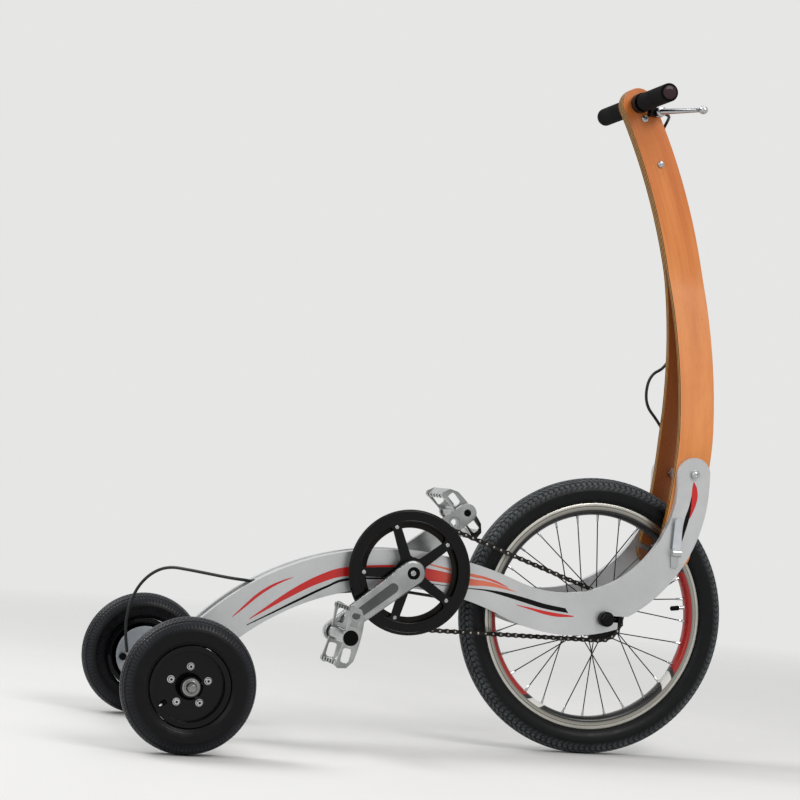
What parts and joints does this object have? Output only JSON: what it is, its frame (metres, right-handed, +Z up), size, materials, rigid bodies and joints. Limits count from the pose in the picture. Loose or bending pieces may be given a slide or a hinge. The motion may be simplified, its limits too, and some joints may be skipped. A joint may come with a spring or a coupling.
{
  "type": "stand-up tricycle",
  "caption": "Stand-up front-drive tricycle: silver S-shaped frame, spoked front wheel with chain drive, folding wooden legs with grips, small steering rear wheels.",
  "frame": {"origin": "on the floor, under the middle of the bounding box", "axes": "+X forwards, +Y to the rider's left, +Z up"},
  "size_m": [1.016, 0.55, 1.0905],
  "materials": {
    "frame_paint": "satin silver paint with red and black stripes",
    "leg_wood": "varnished laminated strip",
    "tyre": "matt black rubber",
    "rim_alloy": "satin brake track, black band with red marks",
    "black_metal": "satin black",
    "alloy": "satin polished",
    "steel": "bright plated steel",
    "chain_steel": "oiled steel",
    "foam": "soft black foam",
    "cable_black": "black housing",
    "bush_rubber": "black rubber",
    "brake_grey": "grey paint"
  },
  "bodies": {
    "frame": {"side_plate_right": "frame_paint", "side_plate_left": "frame_paint", "frame_web": "frame_paint", "crank_shell": "black_metal", "kingpin_seat": "frame_paint", "kingpin_bushing": "bush_rubber", "kingpin": "steel", "front_axle": "steel", "axle_nuts": "black_metal", "chain_tugs": "steel", "pivot_bolts": "steel", "clamp_right": "black_metal", "clamp_left": "black_metal", "clamp_lever_right": "steel", "clamp_lever_left": "steel", "chain": "chain_steel", "brake_cable_frame": "cable_black"},
    "front_wheel": {"front_tyre": "tyre", "front_rim": "rim_alloy", "front_hub": "black_metal", "front_cog": "chain_steel"},
    "crankset": {"crank_spindle": "steel", "chain_ring": "chain_steel", "chain_guard": "black_metal", "crank_arm_right": "alloy", "crank_arm_left": "alloy", "pedal_axle_right": "steel", "pedal_axle_left": "steel"},
    "pedal_right": {"pedal_right": "alloy"},
    "pedal_left": {"pedal_left": "alloy"},
    "handlebar": {"leg_right": "leg_wood", "leg_left": "leg_wood", "handle_bar": "black_metal", "grip_right": "foam", "grip_left": "foam", "leg_bolts": "steel", "brake_clamp": "alloy", "brake_blade": "alloy", "brake_cable_bar": "cable_black"},
    "truck": {"truck_hanger": "black_metal", "rear_axle": "steel", "brake_plate": "brake_grey", "brake_arm": "black_metal", "brake_cable_truck": "cable_black"},
    "rear_wheel_right": {"rear_tyre_right": "tyre", "rear_rim_right": "black_metal", "rear_hub_right": "black_metal"},
    "rear_wheel_left": {"rear_tyre_left": "tyre", "rear_rim_left": "black_metal", "rear_hub_left": "black_metal"}
  },
  "joints": [
    {"name": "front_wheel_spin", "type": "hinge", "parent": "frame", "child": "front_wheel", "pos_m": [0.284, 0, 0.224], "axis": [0, 1, 0], "continuous": true},
    {"name": "crank_spin", "type": "hinge", "parent": "frame", "child": "crankset", "pos_m": [-0.04, 0, 0.276], "axis": [0, 1, 0], "continuous": true},
    {"name": "pedal_right_spin", "type": "hinge", "parent": "crankset", "child": "pedal_right", "pos_m": [-0.16029, -0.135, 0.17825], "axis": [0, 1, 0], "continuous": true},
    {"name": "pedal_left_spin", "type": "hinge", "parent": "crankset", "child": "pedal_left", "pos_m": [0.08029, 0.135, 0.37375], "axis": [0, 1, 0], "continuous": true},
    {"name": "handlebar_fold", "type": "hinge", "parent": "frame", "child": "handlebar", "pos_m": [0.422, 0, 0.466], "axis": [0, -1, 0], "range_deg": [0, 80]},
    {"name": "truck_steer", "type": "hinge", "parent": "frame", "child": "truck", "pos_m": [-0.408, 0, 0.1], "axis": [0.6428, 0, 0.766], "range_deg": [-15, 15], "stiffness_Nm_per_rad": 250},
    {"name": "rear_wheel_right_spin", "type": "hinge", "parent": "truck", "child": "rear_wheel_right", "pos_m": [-0.408, -0.235, 0.1], "axis": [0, 1, 0], "continuous": true},
    {"name": "rear_wheel_left_spin", "type": "hinge", "parent": "truck", "child": "rear_wheel_left", "pos_m": [-0.408, 0.235, 0.1], "axis": [0, 1, 0], "continuous": true}
  ]
}
